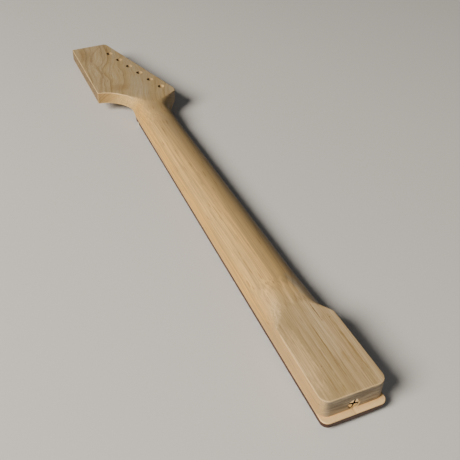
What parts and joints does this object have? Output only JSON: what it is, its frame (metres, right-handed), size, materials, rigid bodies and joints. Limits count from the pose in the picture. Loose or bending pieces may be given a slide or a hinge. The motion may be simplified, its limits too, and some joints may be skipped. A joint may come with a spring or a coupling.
{
  "type": "electric guitar neck",
  "caption": "Bolt-on electric guitar neck in bare maple with a dark fretted board, an angular one-sided headstock and an adjustable truss rod.",
  "frame": {"origin": "the middle of the heel's flat back face, on the neck's centre line, which seats on the floor of a body's neck pocket", "axes": "+Y from the heel to the headstock, +Z out of the back of the neck, +X towards the bass side, where the tuner holes are"},
  "size_m": [0.0948, 0.6707, 0.0279],
  "materials": {
    "maple": "bare, sanded, unfinished",
    "rosewood": "dark, open pored, dry",
    "fret_wire": "polished nickel silver",
    "bone": "satin bone",
    "pearl": "pearloid",
    "rod_steel": "plain steel",
    "nickel_plate": "nickel plated steel"
  },
  "bodies": {
    "neck": {"maple_neck": "maple", "fingerboard": "rosewood", "fret_01": "fret_wire", "fret_02": "fret_wire", "fret_03": "fret_wire", "fret_04": "fret_wire", "fret_05": "fret_wire", "fret_06": "fret_wire", "fret_07": "fret_wire", "fret_08": "fret_wire", "fret_09": "fret_wire", "fret_10": "fret_wire", "fret_11": "fret_wire", "fret_12": "fret_wire", "fret_13": "fret_wire", "fret_14": "fret_wire", "fret_15": "fret_wire", "fret_16": "fret_wire", "fret_17": "fret_wire", "fret_18": "fret_wire", "fret_19": "fret_wire", "fret_20": "fret_wire", "fret_21": "fret_wire", "fret_22": "fret_wire", "string_nut": "bone", "face_dot_3": "pearl", "face_dot_5": "pearl", "face_dot_7": "pearl", "face_dot_9": "pearl", "face_dot_12_treble": "pearl", "face_dot_12_bass": "pearl", "face_dot_15": "pearl", "face_dot_17": "pearl", "face_dot_19": "pearl", "face_dot_21": "pearl", "side_dot_3": "pearl", "side_dot_5": "pearl", "side_dot_7": "pearl", "side_dot_9": "pearl", "side_dot_12_treble": "pearl", "side_dot_12_bass": "pearl", "side_dot_15": "pearl", "side_dot_17": "pearl", "side_dot_19": "pearl", "side_dot_21": "pearl", "truss_rod": "rod_steel", "channel_fillet": "maple", "rod_anchor": "rod_steel"},
    "thrust_washer": {"rod_washer": "rod_steel"},
    "adjuster": {"truss_rod_adjuster": "nickel_plate"}
  },
  "joints": [
    {"name": "adjuster_travel", "type": "slide", "parent": "neck", "child": "thrust_washer", "axis": [0, -1, 0], "range_m": [-0.0001985, 0.000794]},
    {"name": "adjuster_turn", "type": "hinge", "parent": "thrust_washer", "child": "adjuster", "pos_m": [0, -0.0373, -0.0137], "axis": [0, -1, 0], "range_deg": [-90, 360]}
  ],
  "couplings": [
    {"joint": "adjuster_turn", "follows": "adjuster_travel", "rad_per_m": 7913.3}
  ]
}
